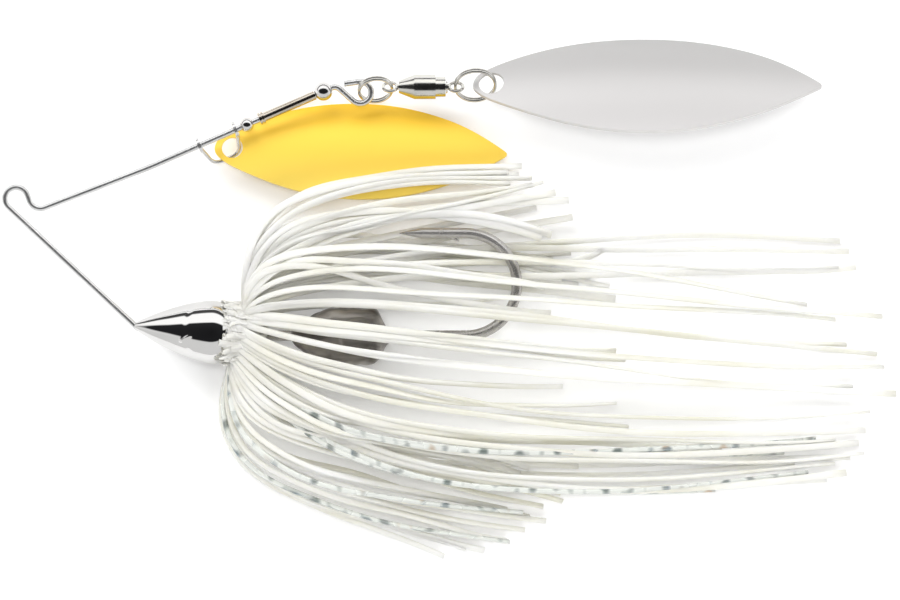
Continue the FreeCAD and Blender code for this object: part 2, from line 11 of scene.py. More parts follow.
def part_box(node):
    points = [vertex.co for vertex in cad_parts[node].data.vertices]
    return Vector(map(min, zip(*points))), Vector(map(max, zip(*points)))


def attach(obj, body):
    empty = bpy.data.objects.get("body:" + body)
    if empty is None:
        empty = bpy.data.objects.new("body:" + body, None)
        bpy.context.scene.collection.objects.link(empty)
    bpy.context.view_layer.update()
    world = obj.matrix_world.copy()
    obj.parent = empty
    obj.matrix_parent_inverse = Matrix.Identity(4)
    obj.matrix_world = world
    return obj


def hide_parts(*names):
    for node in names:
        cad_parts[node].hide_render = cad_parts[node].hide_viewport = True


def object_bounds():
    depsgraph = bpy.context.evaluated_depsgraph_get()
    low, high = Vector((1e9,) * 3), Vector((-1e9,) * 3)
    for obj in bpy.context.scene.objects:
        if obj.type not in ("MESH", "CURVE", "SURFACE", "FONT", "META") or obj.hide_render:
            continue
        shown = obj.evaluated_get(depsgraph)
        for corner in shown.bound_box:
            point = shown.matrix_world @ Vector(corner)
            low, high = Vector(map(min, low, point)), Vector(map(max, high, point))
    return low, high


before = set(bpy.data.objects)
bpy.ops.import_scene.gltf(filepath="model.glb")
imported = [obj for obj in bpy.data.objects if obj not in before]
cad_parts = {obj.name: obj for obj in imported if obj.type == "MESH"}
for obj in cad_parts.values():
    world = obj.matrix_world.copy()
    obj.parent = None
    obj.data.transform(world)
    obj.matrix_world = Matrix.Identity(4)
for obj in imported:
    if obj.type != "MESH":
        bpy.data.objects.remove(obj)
CAD_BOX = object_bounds()
MM = 0.001


# --- materials --------------------------------------------------------------------------

def new_material(name):
    material = bpy.data.materials.new(name)
    material.use_nodes = True
    return material, material.node_tree, material.node_tree.nodes["Principled BSDF"]


def scaled_coordinates(tree, scale=(1, 1, 1), kind="Object"):
    coordinates = tree.nodes.new("ShaderNodeTexCoord")
    mapping = tree.nodes.new("ShaderNodeMapping")
    mapping.inputs["Scale"].default_value = scale
    tree.links.new(coordinates.outputs[kind], mapping.inputs["Vector"])
    return mapping.outputs["Vector"]


def noise(tree, vector, scale, detail=3.0):
    node = tree.nodes.new("ShaderNodeTexNoise")
    node.inputs["Scale"].default_value = scale
    node.inputs["Detail"].default_value = detail
    tree.links.new(vector, node.inputs["Vector"])
    return node.outputs["Fac"]


def ramp(tree, factor, stops):
    node = tree.nodes.new("ShaderNodeValToRGB")
    elements = node.color_ramp.elements
    while len(elements) < len(stops):
        elements.new(0.5)
    for element, (position, colour) in zip(elements, stops):
        element.position = position
        element.color = colour + (1,)
    tree.links.new(factor, node.inputs["Fac"])
    return node.outputs["Color"]


def span(tree, factor, low, high, start=0.0, end=1.0):
    """Factor between start and end turned into a value between low and high."""
    node = tree.nodes.new("ShaderNodeMapRange")
    node.inputs["From Min"].default_value = start
    node.inputs["From Max"].default_value = end
    node.inputs["To Min"].default_value = low
    node.inputs["To Max"].default_value = high
    tree.links.new(factor, node.inputs["Value"])
    return node.outputs["Result"]


def bump(tree, shader, height, strength, distance):
    node = tree.nodes.new("ShaderNodeBump")
    node.inputs["Strength"].default_value = strength
    node.inputs["Distance"].default_value = distance
    tree.links.new(height, node.inputs["Height"])
    tree.links.new(node.outputs["Normal"], shader.inputs["Normal"])


def metal(name, dark, light, rough, grain=(1, 1, 1), grain_scale=600, bump_strength=0.1,
          metallic=1.0, tone_scale=90):
    """Metal with fine tone variation, uneven gloss and a faint surface grain."""
    material, tree, shader = new_material(name)
    shader.inputs["Metallic"].default_value = metallic
    vector = scaled_coordinates(tree, grain)
    tone = noise(tree, vector, tone_scale, 4)
    tree.links.new(ramp(tree, tone, [(0.3, dark), (0.7, light)]), shader.inputs["Base Color"])
    fine = noise(tree, vector, grain_scale, 3)
    tree.links.new(span(tree, fine, *rough), shader.inputs["Roughness"])
    bump(tree, shader, fine, bump_strength, 0.00002)
    return material


def plated_with_painted_shade(name, upper, lower, rows, metallic, rough):
    """Satin plating with painted shade: its colour runs from a lit lower edge to a shaded upper
    edge, in place of how the light falls; rows are where, in the piece's Y.
    """
    material, tree, shader = new_material(name)
    shader.inputs["Metallic"].default_value = metallic
    coordinates = tree.nodes.new("ShaderNodeTexCoord")
    split = tree.nodes.new("ShaderNodeSeparateXYZ")
    tree.links.new(coordinates.outputs["Object"], split.inputs["Vector"])
    # Painted shade: the colour follows the piece's Y, lighter at the lower edge and darker at the
    # upper edge, to stand in for light falling on the blade.
    across = span(tree, split.outputs["Y"], 0.0, 1.0, *rows)
    tone = ramp(tree, across, [(0.0, lower), (1.0, upper)])
    tree.links.new(tone, shader.inputs["Base Color"])
    vector = scaled_coordinates(tree, (0.12, 1, 1))
    fine = noise(tree, vector, 900, 4)
    tree.links.new(span(tree, fine, *rough), shader.inputs["Roughness"])
    bump(tree, shader, fine, 0.12, 0.00002)
    return material


def silicone(name):
    """Translucent white silicone with a creamy body and uneven gloss."""
    material, tree, shader = new_material(name)
    vector = scaled_coordinates(tree, (0.35, 1, 1))
    tone = noise(tree, vector, 120, 4)
    colour = ramp(tree, tone, [(0.3, (0.80, 0.78, 0.66)), (0.5, (0.92, 0.91, 0.84)),
                               (0.75, (0.98, 0.98, 0.96))])
    tree.links.new(colour, shader.inputs["Base Color"])
    tree.links.new(span(tree, noise(tree, vector, 500), 0.25, 0.5), shader.inputs["Roughness"])
    bump(tree, shader, noise(tree, vector, 900, 2), 0.15, 0.00004)
    shader.inputs["Subsurface Weight"].default_value = 0.35
    shader.inputs["Subsurface Radius"].default_value = (0.9, 0.9, 0.75)
    shader.inputs["Subsurface Scale"].default_value = 0.0012
    shader.inputs["Transmission Weight"].default_value = 0.2
    shader.inputs["IOR"].default_value = 1.41
    shader.inputs["Specular IOR Level"].default_value = 0.6
    return material


def foil_silicone(name):
    """Clear silicone with scattered flecks of dark holographic foil inside."""
    material, tree, shader = new_material(name)
    vector = scaled_coordinates(tree, (0.8, 0.34, 1), "UV")
    flecks = noise(tree, vector, 1.5, 0)
    hue = noise(tree, vector, 0.5, 1)
    mask = ramp(tree, flecks, [(0.53, (0, 0, 0)), (0.72, (0.80, 0.80, 0.80))])
    foil = ramp(tree, hue, [(0.35, (0.16, 0.22, 0.20)), (0.5, (0.34, 0.37, 0.36)),
                            (0.58, (0.22, 0.31, 0.36)), (0.68, (0.62, 0.45, 0.30))])
    mix = tree.nodes.new("ShaderNodeMixRGB")
    mix.inputs["Color1"].default_value = (0.86, 0.88, 0.84, 1)
    tree.links.new(mask, mix.inputs["Fac"])
    tree.links.new(foil, mix.inputs["Color2"])
    tree.links.new(mix.outputs["Color"], shader.inputs["Base Color"])
    tree.links.new(span(tree, mask, 0.0, 0.5), shader.inputs["Metallic"])
    tree.links.new(span(tree, hue, 0.18, 0.34), shader.inputs["Roughness"])
    shader.inputs["Transmission Weight"].default_value = 0.3
    shader.inputs["IOR"].default_value = 1.41
    return material


CHROME = metal("head_chrome", (0.61, 0.605, 0.595), (0.68, 0.675, 0.665), (0.02, 0.06),
               bump_strength=0.03)
WIRE = metal("stainless_wire", (0.66, 0.66, 0.66), (0.82, 0.82, 0.82), (0.20, 0.30),
             metallic=0.88)
HOOK = metal("hook_black_nickel", (0.42, 0.405, 0.39), (0.60, 0.585, 0.57), (0.20, 0.32),
             metallic=0.75)
PEWTER = metal("weight_nickel", (0.05, 0.045, 0.04), (0.46, 0.43, 0.40), (0.26, 0.46),
               grain=(0.2, 1, 1), grain_scale=900, bump_strength=0.6, metallic=0.7,
               tone_scale=420)
# Blades with painted shade: upper is the shaded colour and lower is the lit colour. They are not a
# change in the plating itself.
GOLD = plated_with_painted_shade("gold_plate", upper=(0.93, 0.55, 0.02), lower=(1.00, 0.76, 0.15),
              rows=(0.0, 0.0155), metallic=0.15, rough=(0.34, 0.46))
NICKEL = plated_with_painted_shade("nickel_plate", upper=(0.38, 0.375, 0.37), lower=(0.66, 0.645, 0.64),
                rows=(0.0105, 0.0265), metallic=0.15, rough=(0.34, 0.46))
SMALL_NICKEL = metal("bead_nickel", (0.60, 0.59, 0.58), (0.76, 0.75, 0.74), (0.08, 0.20))
TUBE = metal("tube_nickel", (0.50, 0.45, 0.38), (0.72, 0.66, 0.58), (0.14, 0.28))
SWIVEL = metal("swivel_nickel", (0.54, 0.53, 0.50), (0.74, 0.73, 0.69), (0.12, 0.24))
SKIRT = silicone("skirt_silicone")
FOIL = foil_silicone("flash_strands")

NODE_MATERIALS = {
    "frame_wire": WIRE, "clevis": WIRE, "hook": HOOK,
    "front_blade": GOLD, "rear_blade": NICKEL,
    "front_bead": SMALL_NICKEL, "rear_bead": SMALL_NICKEL,
    "spacer_tube": TUBE, "tube_collar_front": TUBE, "tube_collar_rear": TUBE,
    "front_split_ring": SWIVEL, "rear_split_ring": SWIVEL,
    "swivel_barrel": SWIVEL, "swivel_end_cap": SWIVEL, "swivel_front_eye": SWIVEL,
    "swivel_shaft": SWIVEL, "swivel_washer": SWIVEL, "swivel_balls": SWIVEL,
}


def dress_nodes():
    for node, material in NODE_MATERIALS.items():
        piece = bpy.data.objects[node]
        piece.data.materials.clear()
        piece.data.materials.append(material)


# --- meshes -----------------------------------------------------------------------------

def linked(name, data):
    """Object with this data, in the scene."""
    item = bpy.data.objects.new(name, data)
    bpy.context.scene.collection.objects.link(item)
    return item


def closed_piece(name, vertices, faces, material, uvs=()):
    """Piece with outward faces, shaded smooth; uvs has a pair for every corner of a face."""
    mesh = bpy.data.meshes.new(name)
    mesh.from_pydata(vertices, [], faces)
    if uvs:
        layer = mesh.uv_layers.new(name="UVMap")
        for loop, uv in zip(layer.data, uvs):
            loop.uv = uv
    mesh.materials.append(material)
    work = bmesh.new()
    work.from_mesh(mesh)
    bmesh.ops.recalc_face_normals(work, faces=work.faces)
    work.to_mesh(mesh)
    work.free()
    mesh.shade_smooth()
    return linked(name, mesh)


def ring_faces(rings, sides):
    """Faces between rings of vertices that follow one another, with a cap at each end."""
    faces = []
    for ring in range(rings - 1):
        base = ring * sides
        for index in range(sides):
            after = (index + 1) % sides
            faces.append((base + index, base + sides + index, base + sides + after, base + after))
    last = (rings - 1) * sides
    faces.append(tuple(range(sides)))
    faces.append(tuple(last + index for index in reversed(range(sides))))
    return faces


# --- head, collar and weight ------------------------------------------------------------

# Lengths along the head's axis are in millimetres from the nose; the axis drops toward -Y.
HEAD_SLOPE = math.radians(4.8)
HEAD_AXIS = Matrix.Rotation(-HEAD_SLOPE, 4, "Z")
HEAD_LENGTH = 15.0
HEAD_WIDEST = 12.4
HEAD_RADIUS = 5.1
NOSE_RADIUS = 0.5
FLANK_CURVE = 1.6
REAR_TAPER = 0.75
NECK_RADIUS = 2.6
NECK_END = 20.4
# Distance along the axis from the nose to the widest section of the head's box.
BOX_WIDEST = 12.8

# Gill cover: where its edge is furthest forward and at which tilt, how far it has swept back
# after a further turn, how deep the cheek in front of it is sunk, the length of the step up
# behind the edge, and where the cheek starts to sink and over what length.
GILL_EDGE, GILL_TILT = 7.7, 0.1
GILL_SWEEP, GILL_TURN = 1.5, 1.05
GILL_DEPTH, GILL_STEP = 0.07, 1.1
CHEEK_START, CHEEK_RUN = 1.5, 4.0

# Gill ridge: the tilt where it starts and the tilt it spans, where it starts along the axis and
# how far it runs back, its bend, its height and half width, and the share faded at each end.
RIDGE_TILT, RIDGE_SPAN = -0.54, 0.44
RIDGE_FRONT, RIDGE_LENGTH, RIDGE_BEND = 7.5, 2.0, 1.3
RIDGE_HEIGHT, RIDGE_WIDTH, RIDGE_FADE = 0.16, 0.35, 0.2


def nose_point():
    """Centre of the head's front end, from the head's own box."""
    low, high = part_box("head")
    middle = (low[1] + high[1]) / 2 / MM + math.sin(HEAD_SLOPE) * BOX_WIDEST
    return Vector((low[0] / MM, middle, 0))


def smooth(share):
    share = min(max(share, 0.0), 1.0)
    return share * share * (3 - 2 * share)


def head_radius(along):
    """Bulged flank to the widest point, then a short taper to the rear face."""
    if along > HEAD_WIDEST:
        share = (along - HEAD_WIDEST) / (HEAD_LENGTH - HEAD_WIDEST)
        return HEAD_RADIUS - REAR_TAPER * share ** 2
    share = along / HEAD_WIDEST
    return NOSE_RADIUS + (HEAD_RADIUS - NOSE_RADIUS) * (1 - (1 - share) ** FLANK_CURVE)


def gill_line(tilt):
    """Distance of the gill cover's edge from the nose; tilt is the angle from straight up."""
    return GILL_EDGE + GILL_SWEEP * ((tilt - GILL_TILT) / GILL_TURN) ** 2


def gill_ridge(along, tilt):
    """Height of the short curved ridge behind the gill cover's edge."""
    share = (tilt - RIDGE_TILT) / RIDGE_SPAN
    distance = along - RIDGE_FRONT - RIDGE_LENGTH * max(share, 0.0) ** RIDGE_BEND
    ends = smooth(share / RIDGE_FADE) * smooth((1 - share) / RIDGE_FADE)
    return RIDGE_HEIGHT * math.exp(-(distance / RIDGE_WIDTH) ** 2) * ends


def head_surface(along, angle):
    """Radius of the head with the cheek sunk in front of the gill cover, and of its neck."""
    if along > HEAD_LENGTH:
        return NECK_RADIUS
    tilt = math.atan2(math.sin(angle), abs(math.cos(angle)))
    behind = smooth((along - gill_line(tilt)) / GILL_STEP)
    fade = smooth((along - CHEEK_START) / CHEEK_RUN)
    return head_radius(along) - GILL_DEPTH * (1 - behind) * fade + gill_ridge(along, tilt)


def turned_piece(name, stations, radius_at, material, sides=144):
    """Closed piece round the head's axis; radius_at(along, angle) is in millimetres."""
    origin = nose_point()
    vertices = []
    for along in stations:
        for index in range(sides):
            angle = 2 * math.pi * index / sides
            radius = radius_at(along, angle)
            spot = Vector((along, math.sin(angle) * radius, math.cos(angle) * radius))
            vertices.append((origin + HEAD_AXIS @ spot) * MM)
    return closed_piece(name, vertices, ring_faces(len(stations), sides), material)


def make_head():
    steps, ledge = 120, 0.01
    stations = [HEAD_LENGTH * index / steps for index in range(steps + 1)]
    stations += [HEAD_LENGTH + ledge, NECK_END]
    piece = turned_piece("chrome_head", stations, head_surface, CHROME)
    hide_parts("head")
    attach(piece, "frame")


def make_collar():
    """Rubber band with three rounded ribs."""
    front, back, radius = 15.02, 17.3, 3.75
    ribs, rib_height, steps = 3, 0.35, 30
    stations = [front + (back - front) * index / steps for index in range(steps + 1)]

    def rib(along, angle):
        share = (along - front) / (back - front)
        return radius + rib_height * abs(math.sin(math.pi * ribs * share))

    piece = turned_piece("collar_band", stations, rib, SKIRT, 64)
    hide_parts("skirt_collar")
    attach(piece, "frame")


def make_weight():
    """Cast keel weight: squarish sections, thin in front, with a round recess on both sides."""
    low, high = (corner / MM for corner in map(Vector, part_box("keel_weight")))
    centre, half = (low + high) / 2, (high - low) / 2
    rings, sides, squareness = 90, 160, 0.62
    swell_end, taper_start, taper, thinnest = 0.42, 0.80, 0.72, 0.05
    flattest = 0.35
    inset, dent_height = 0.1, 0.12
    recess_x, recess_radius, recess_depth, recess_wall = low.x + 1.36 * half.x, 3.0, 0.5, 0.6
    side_share = 0.5
    vertices = []
    for ring in range(rings + 1):
        along = ring / rings
        narrowed = 1 - smooth((along - taper_start) / (1 - taper_start)) ** 2 * taper
        swell = max(min((along / swell_end) ** 0.5, 1) * narrowed, thinnest)
        for index in range(sides):
            angle = 2 * math.pi * index / sides
            across, up = math.cos(angle), math.sin(angle)
            across = math.copysign(abs(across) ** squareness, across)
            up = math.copysign(abs(up) ** squareness, up)
            dent = dent_height * math.sin(along * 31) * math.sin(angle * 5 + along * 9)
            height = half.z * (flattest + (1 - flattest) * swell) - inset
            spot = Vector((low.x + 2 * half.x * along,
                           centre.y + across * (half.y * swell - inset + dent),
                           centre.z + up * height))
            from_recess = math.hypot(spot.x - recess_x, spot.y - centre.y)
            sunk = smooth((recess_radius - from_recess) / recess_wall)
            sunk *= smooth(abs(up) / side_share)
            spot.z -= math.copysign(recess_depth * sunk, up)
            vertices.append(spot * MM)
    piece = closed_piece("cast_weight", vertices, ring_faces(rings + 1, sides), PEWTER)
    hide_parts("keel_weight")
    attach(piece, "frame")


# --- skirt ------------------------------------------------------------------------------

# Ring of the strands' roots, and how much further forward a strand that leaves toward -Y starts.
ROOT_CENTRE = Vector((36.7, -21.8, 0.0))
ROOT_RADIUS = 4.0
ROOT_ADVANCE = 2.2
SKIRT_SEED = 41
# Ripples start at a phase of up to about one turn, which also shifts the flecks along a strand.
PHASE_LIMIT = 6.28
FLECK_SHIFT = 40
# Lowest height that a strand's underside may have, a little above the table.
TABLE = CAD_BOX[0][2] / MM + 0.04


def bezier(points, share):
    rest = 1 - share
    weights = (rest ** 3, 3 * rest ** 2 * share, 3 * rest * share ** 2, share ** 3)
    return sum((point * weight for weight, point in zip(weights, points)), Vector())


class StrandMesh:
    """Collects flat silicone strands into one mesh.

    CORNER is the share of the thickness cut off each corner.  TANGENT_STEP is how far to each
    side, as a share of the strand, its direction is taken.  RIPPLES holds the height, the
    factor on the phase and the radians along the strand of each wave of its sideways ripple.
    """

    STEPS = 40
    CORNER = 0.3
    TANGENT_STEP = 0.01
    RIPPLES = ((1.0, 1.0, 9.0), (0.35, 1.7, 19.0))

    def __init__(self):
        self.vertices = []
        self.faces = []
        self.uvs = []

    def add(self, guides, width, thickness, twist, ripple, phase):
        """One strand along a cubic; twist is (start, end) in radians."""
        first = len(self.vertices)
        half_w, half_t = width / 2, thickness / 2
        corner = thickness * self.CORNER
        outline = [(-half_w, -half_t + corner), (-half_w + corner, -half_t),
                   (half_w - corner, -half_t), (half_w, -half_t + corner),
                   (half_w, half_t - corner), (half_w - corner, half_t),
                   (-half_w + corner, half_t), (-half_w, half_t - corner)]
        length = phase * FLECK_SHIFT
        previous = None
        lengths = []
        for step in range(self.STEPS + 1):
            share = step / self.STEPS
            here = bezier(guides, share)
            ahead = bezier(guides, min(share + self.TANGENT_STEP, 1))
            behind = bezier(guides, max(share - self.TANGENT_STEP, 0))
            run = (ahead - behind).normalized()
            side = run.cross(Vector((0, 0, 1))).normalized()
            sway = sum(height * math.sin(phase * factor + share * turn)
                       for height, factor, turn in self.RIPPLES)
            here = here + side * sway * ripple * share
            turn = twist[0] + (twist[1] - twist[0]) * share
            side = Matrix.Rotation(turn, 3, run) @ side
            rise = side.cross(run).normalized()
            here.z = max(here.z, TABLE + abs(side.z) * half_w + abs(rise.z) * half_t)
            if previous is not None:
                length += (here - previous).length
            previous = here
            lengths.append(length)
            for across, up in outline:
                self.vertices.append((here + side * across + rise * up) * MM)
        count = len(outline)
        for step in range(self.STEPS):
            base = first + step * count
            for index in range(count):
                after = (index + 1) % count
                self.faces.append((base + index, base + after,
                                   base + count + after, base + count + index))
                low, high = lengths[step], lengths[step + 1]
                u0, u1 = index / count, (index + 1) / count
                self.uvs += [(u0, low), (u1, low), (u1, high), (u0, high)]
        self.faces.append(tuple(first + index for index in reversed(range(count))))
        self.uvs += [(0, 0)] * count
        last = first + self.STEPS * count
        self.faces.append(tuple(last + index for index in range(count)))
        self.uvs += [(0, length)] * count

    def make(self, name, material):
        return closed_piece(name, self.vertices, self.faces, material, self.uvs)


def strand_guides(ring_angle, leave, reach, arrive, back, tip, lift):
    """Guide points of a strand.

    ring_angle places the root round the collar; the strand leaves in direction leave for
    reach millimetres and arrives at its tip from back millimetres behind it.  lift is the
    height of the two middle guides.
    """
    angle = math.radians(ring_angle)
    root = ROOT_CENTRE + Vector((0, math.cos(angle), math.sin(angle))) * ROOT_RADIUS
    out = math.radians(leave)
    root.x += min(math.sin(out), 0) * ROOT_ADVANCE
    end = math.radians(arrive)
    tip = Vector(tip)
    near = Vector((root.x + math.cos(out) * reach, root.y + math.sin(out) * reach, lift[0]))
    far = Vector((tip.x - math.cos(end) * back, tip.y - math.sin(end) * back, lift[1]))
    return [root, near, far, tip]


# Strand families: replaced node, then rows of
# (ring angle, leave direction, reach, arrive direction, back, tip, (near lift, far lift)).
FAMILIES = {
    "skirt_upper_edge": [
        (8, 97, 18, -2, 30, (80.9, 5.1, 0.2), (4.0, 3.6)),
        (12, 95, 17, -1, 30, (82.5, 3.5, 0.4), (5.0, 4.0)),
        (6, 95, 18, 0, 26, (79.0, 2.6, 0.8), (3.6, 3.6)),
        (16, 94, 19, 0, 32, (78.6, 3.9, 1.0), (5.4, 4.4)),
        (22, 92, 12, 11, 32, (84.5, 1.9, 0.9), (4.4, 2.6)),
        (26, 84, 14, 8, 36, (86.4, 0.4, 0.8), (4.0, 2.4)),
        (20, 80, 9, 10, 30, (82.0, 0.7, 0.6), (3.6, 2.2)),
        (14, 74, 9, 9, 36, (89.1, -2.8, -3.4), (1.6, -4.2)),
        (30, 90, 15, 4, 40, (88.4, 0.0, 0.4), (3.0, 1.6)),
        (34, 90, 18, -18, 30, (83.8, -6.9, 0.5), (4.2, 2.2)),
        (38, 84, 13, -14, 26, (85.8, -5.2, 0.6), (4.0, 2.4)),
    ],
    "skirt_upper_tails": [
        (30, 52, 11, 0, 60, (132.1, -6.2, -4.4), (2.0, -5.4)),
        (24, 58, 12, -2, 52, (133.6, -8.2, -4.4), (2.2, -5.6)),
        (34, 60, 14, 24, 16, (93.9, -7.5, -3.8), (2.0, -5.0)),
        (28, 72, 14, 4, 40, (134.7, -10.3, -4.2), (3.0, -5.2)),
        (38, 46, 10, 0, 46, (131.9, -11.6, -4.3), (3.0, -5.6)),
        (18, 86, 17, -14, 40, (95.0, -14.0, -4.6), (2.0, -5.0)),
        (22, 88, 18, -7, 58, (126.8, -16.1, -4.4), (10.0, 5.0)),
        (28, 78, 13, -6, 58, (138.8, -19.6, -4.5), (10.0, 5.0)),
        (34, 62, 10, -3, 54, (131.3, -19.7, -4.3), (10.0, 5.0)),
    ],
    "skirt_crown_tails": [
        (30, 74, 14, -12, 26, (84.4, -14.9, 1.9), (9.0, 5.0)),
        (38, 44, 8, -4, 60, (133.1, -23.3, -4.4), (11.0, 5.0)),
        (42, 38, 8, -6, 56, (138.0, -25.2, -4.5), (11.0, 5.4)),
        (40, 6, 11, 1, 58, (139.1, -26.6, -4.3), (12.0, 6.4)),
        (44, 3, 11, -1, 27, (95.9, -24.1, 1.6), (12.6, 7.0)),
        (50, -8, 12, -3, 56, (134.1, -29.8, -4.3), (12.0, 6.2)),
        (54, -5, 12, -4, 26, (97.4, -25.4, 0.6), (12.4, 6.6)),
        (60, -20, 13, -1, 60, (141.1, -30.9, -4.6), (11.6, 6.0)),
        (64, -17, 12, -3, 26, (96.8, -28.7, 0.4), (12.0, 6.4)),
        (72, -29, 13, -2, 27, (87.4, -30.3, 1.4), (11.4, 6.2)),
    ],
    "skirt_lower_tails": [
        (80, -32, 15, 2, 54, (136.9, -35.0, -4.4), (11.0, 4.8)),
        (88, -35, 16, 0, 28, (96.0, -33.1, 0.2), (11.0, 4.8)),
        (96, -38, 17, 2, 56, (136.2, -36.9, -4.6), (10.4, 4.4)),
        (104, -36, 18, -6, 34, (98.0, -36.4, -2.8), (9.6, 4.0)),
        (110, -44, 18, 3, 44, (113.0, -39.0, -4.4), (9.2, 3.6)),
        (118, -40, 20, 4, 52, (131.2, -37.8, -4.2), (8.8, 3.6)),
        (126, -49, 20, -3, 36, (96.0, -38.8, -3.0), (8.0, 3.0)),
        (132, -45, 21, 5, 54, (135.1, -39.0, -4.6), (7.8, 3.2)),
        (140, -52, 21, 6, 52, (135.8, -40.1, -4.7), (7.0, 2.6)),
    ],
    "skirt_lower_fan": [
        (196, -112, 20, -22, 28, (68.4, -57.5, -4.3), (0.6, -2.6)),
        (190, -110, 21, -12, 30, (75.0, -56.0, -4.5), (1.4, -2.0)),
        (184, -106, 20, -9, 32, (76.8, -55.2, -4.0), (2.4, -1.2)),
        (178, -107, 19, -8, 28, (78.7, -54.0, -4.4), (3.2, -0.6)),
        (172, -101, 19, -10, 34, (84.8, -51.8, -4.2), (4.0, 0.0)),
        (168, -102, 17, -12, 34, (82.2, -51.2, -4.5), (4.6, 0.6)),
        (163, -94, 18, -15, 30, (78.4, -50.4, -3.6), (5.2, 1.4)),
        (158, -92, 16, -17, 32, (87.5, -48.5, -4.2), (5.8, 2.0)),
        (154, -80, 17, -18, 30, (87.5, -46.4, -3.8), (6.4, 2.6)),
        (150, -72, 14, -20, 30, (78.5, -45.9, -2.2), (7.0, 3.4)),
        (142, -56, 17, -16, 26, (82.0, -43.5, -1.6), (8.4, 4.6)),
    ],
    "skirt_table_tails": [
        (196, -54, 20, 5, 52, (133.7, -41.1, -4.6), (-1.6, -4.4)),
        (205, -56, 20, 6, 50, (124.8, -42.5, -4.6), (-2.6, -4.4)),
        (152, -54, 21, 6, 52, (131.3, -43.1, -4.5), (5.6, 1.6)),
        (158, -57, 22, 7, 52, (133.1, -43.8, -4.4), (5.0, 0.8)),
        (212, -58, 21, 7, 52, (130.0, -44.8, -4.6), (-3.0, -4.5)),
        (165, -60, 21, -4, 34, (90.0, -43.4, -3.0), (4.0, 0.0)),
        (202, -104, 16, -14, 26, (70.0, -52.0, -4.6), (-0.6, -3.6)),
        (214, -90, 16, -12, 28, (66.0, -47.0, -4.6), (-2.4, -4.2)),
    ],
    "skirt_under_gap": [
        (300, 60, 12, -8, 34, (96.0, -16.0, -4.6), (-4.0, -4.4)),
        (310, 66, 13, -8, 36, (90.0, -14.0, -4.6), (-4.0, -4.2)),
        (322, 74, 14, -8, 34, (92.0, -12.0, -4.6), (-3.4, -4.0)),
        (334, 80, 15, -10, 34, (86.0, -9.6, -4.4), (-2.6, -3.4)),
        (290, 34, 12, 10, 30, (80.0, -15.0, -4.6), (-4.2, -4.6)),
    ],
}

WIDTHS = (0.85, 1.2)
FLASH_WIDTHS = (0.8, 0.95)

# Families with a shorter strand in every third gap between their rows.
FILLED = ("skirt_upper_edge", "skirt_upper_tails", "skirt_lower_fan")
FILL_STEP = 3
# Shorter strands: the range of X that their tips are cut back to, how far their middle is
# lowered, their share of the reach, and how strongly a cut tip is drawn toward the roots in Y.
SHORT_TIPS = (76.0, 95.0)
SHORT_DROP, SHORT_REACH, SHORT_DRAW = 0.5, 0.96, 0.35

# Rows of the clear strands with foil, laid out as above.
FLASH = [
    (186, -109, 21, -8, 32, (79.0, -54.8, -3.6), (3.4, 0.4)),
    (166, -98, 19, -8, 34, (81.0, -50.9, -3.0), (6.0, 2.4)),
    (148, -52, 21, 6, 50, (128.1, -38.1, -4.0), (8.2, 3.8)),
    (143, -48, 20, 4, 50, (123.0, -39.8, -4.0), (8.6, 3.6)),
    (160, -58, 22, 8, 50, (127.0, -44.3, -4.2), (6.0, 2.2)),
    (155, -56, 21, 4, 46, (112.0, -46.2, -4.2), (6.4, 2.0)),
]


def between(first, second, rng):
    """A shorter strand that lies between two rows."""
    share = rng.uniform(0.3, 0.7)

    def mixed(a, b):
        return a + (b - a) * share

    ring, leave, reach, arrive, back = (mixed(a, b) for a, b in zip(first[:5], second[:5]))
    tip = [mixed(a, b) for a, b in zip(first[5], second[5])]
    lift = [mixed(a, b) - SHORT_DROP for a, b in zip(first[6], second[6])]
    end = rng.uniform(*SHORT_TIPS)
    if tip[0] > end:
        kept = (end - ROOT_CENTRE.x) / (tip[0] - ROOT_CENTRE.x)
        tip[1] += (ROOT_CENTRE.y - tip[1]) * (1 - kept) * SHORT_DRAW
        tip[2] += (lift[1] - tip[2]) * (1 - kept)
        tip[0] = end
        back *= kept
    return ring, leave + rng.uniform(-5, 5), reach * SHORT_REACH, arrive, back, tip, lift


def make_family(name, rows, material, rng, widths):
    strands = StrandMesh()
    for row in rows:
        guides = strand_guides(*row)
        start = rng.uniform(-0.6, 0.6)
        strands.add(guides, rng.uniform(*widths), rng.uniform(0.42, 0.52),
                    (start, start + rng.uniform(-1.5, 1.5)), rng.uniform(0.2, 0.8),
                    rng.uniform(0, PHASE_LIMIT))
    return strands.make(name, material)


STUBS = 230


def gathered_stubs(rng):
    """Tangled short strand ends over the collar and the rear of the head."""
    strands = StrandMesh()
    for index in range(STUBS):
        angle = 2 * math.pi * index / STUBS + rng.uniform(-0.1, 0.1)
        out = Vector((0, math.cos(angle), math.sin(angle)))
        side = Vector((0, -math.sin(angle), math.cos(angle)))
        reach = rng.uniform(0.2, 3.4)
        lean = rng.uniform(-1.3, 1.3)
        start = ROOT_CENTRE + Vector((rng.uniform(1.0, 3.6), 0, 0))
        start += out * rng.uniform(3.4, 4.3)
        near = ROOT_CENTRE + Vector((rng.uniform(-1.4, -0.2), 0.05, 0))
        near += out * rng.uniform(4.2, 5.0)
        far = near + Vector((-reach * 0.5, 0.05, 0)) + side * lean * 0.3
        far += out * rng.uniform(-0.2, 0.4)
        tip = near + Vector((-reach, 0.1, 0)) + side * lean
        tip += out * rng.uniform(-0.7, 0.4)
        flat = math.pi / 2 - angle
        strands.add([start, near, far, tip], rng.uniform(0.6, 0.95), rng.uniform(0.28, 0.38),
                    (flat, flat + rng.uniform(-0.8, 0.8)), rng.uniform(0, 0.3),
                    rng.uniform(0, PHASE_LIMIT))
    return strands.make("strand_stubs", SKIRT)


